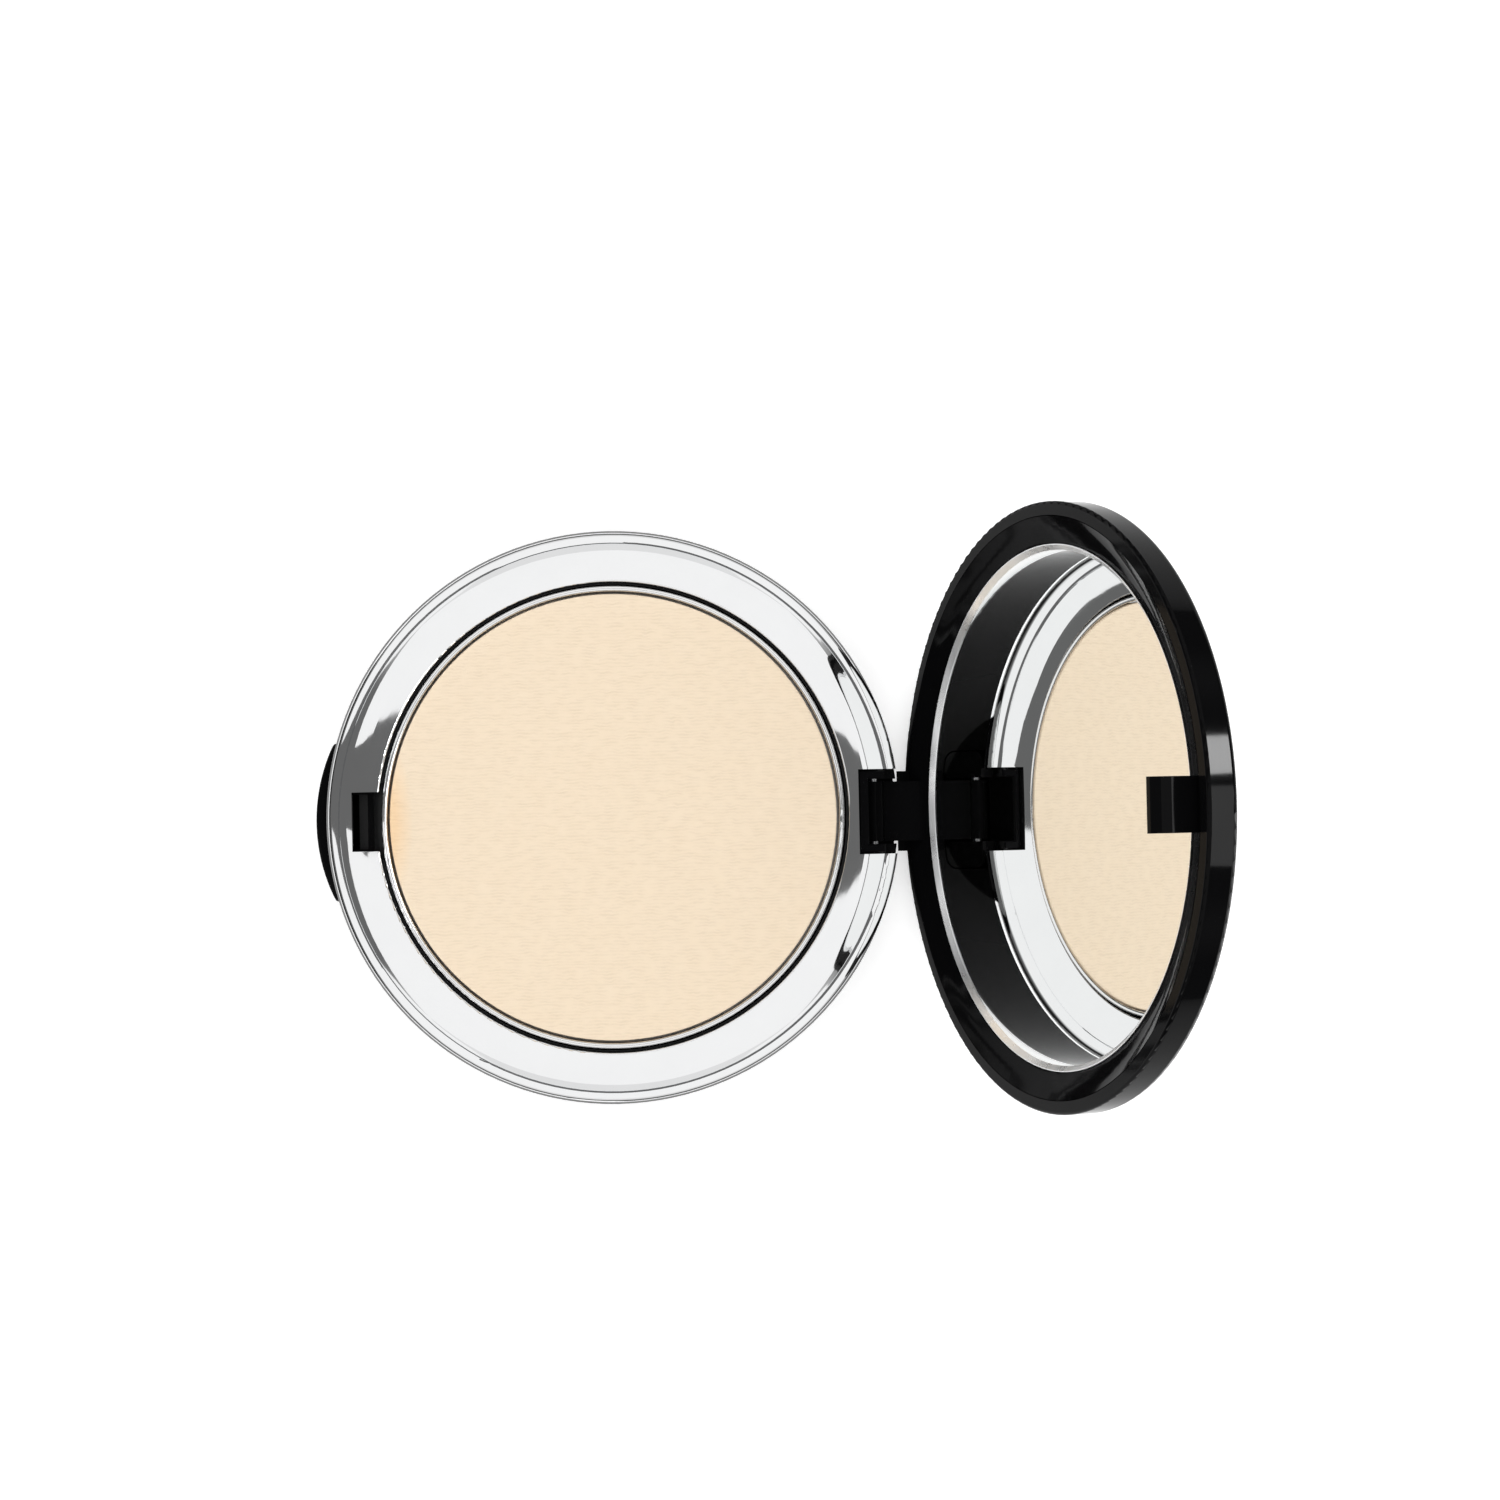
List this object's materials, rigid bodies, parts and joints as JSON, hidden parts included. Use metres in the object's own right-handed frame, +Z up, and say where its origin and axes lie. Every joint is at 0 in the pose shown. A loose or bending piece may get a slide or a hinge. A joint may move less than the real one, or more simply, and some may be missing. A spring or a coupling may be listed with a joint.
{
  "type": "powder compact",
  "caption": "Round push-button makeup compact: base with a pan of pressed powder in a chrome ring, and a hinged lid with an inset mirror.",
  "frame": {"origin": "centre of the flat bottom the compact rests on", "axes": "+Z up, square to the base; +Y towards the hinge, -Y towards the thumb button; X along the hinge pin"},
  "size_m": [0.073, 0.1066, 0.0694],
  "materials": {
    "gloss_black": "polished black moulding",
    "black_moulding": "satin black moulding",
    "plated_chrome": "bright vacuum-metallised plastic",
    "tinplate": "bright pressed tinplate",
    "powder": "matte pressed powder with a fine cloth-pressed grain",
    "pin_steel": "drawn steel",
    "spring_steel": "spring wire",
    "label_paper": "blank coated label",
    "glue": "hot-melt adhesive",
    "mirror": "silvered float glass",
    "tape": "double-sided adhesive disc"
  },
  "bodies": {
    "base": {"base_shell": "gloss_black", "inner_tray": "black_moulding", "pan_glue": "glue", "powder_pan": "tinplate", "pressed_powder": "powder", "chrome_ring": "plated_chrome", "hinge_block": "black_moulding", "hinge_pin": "pin_steel", "bottom_label": "label_paper", "latch_spring": "spring_steel"},
    "latch": {"push_button": "gloss_black"},
    "lid": {"lid_shell": "gloss_black", "mirror_frame": "gloss_black", "mirror_glass": "mirror", "mirror_bezel": "plated_chrome", "mirror_tape": "tape"}
  },
  "joints": [
    {"name": "lid_hinge", "type": "hinge", "parent": "base", "child": "lid", "pos_m": [0, 0.03341, 0.00689], "axis": [-1, 0, 0], "range_deg": [-112, 0]},
    {"name": "button_press", "type": "slide", "parent": "base", "child": "latch", "axis": [0, 1, 0], "range_m": [0, 0.0009], "stiffness_N_per_m": 1500, "springref_m": -0.0006, "deforming": ["latch_spring"]}
  ]
}
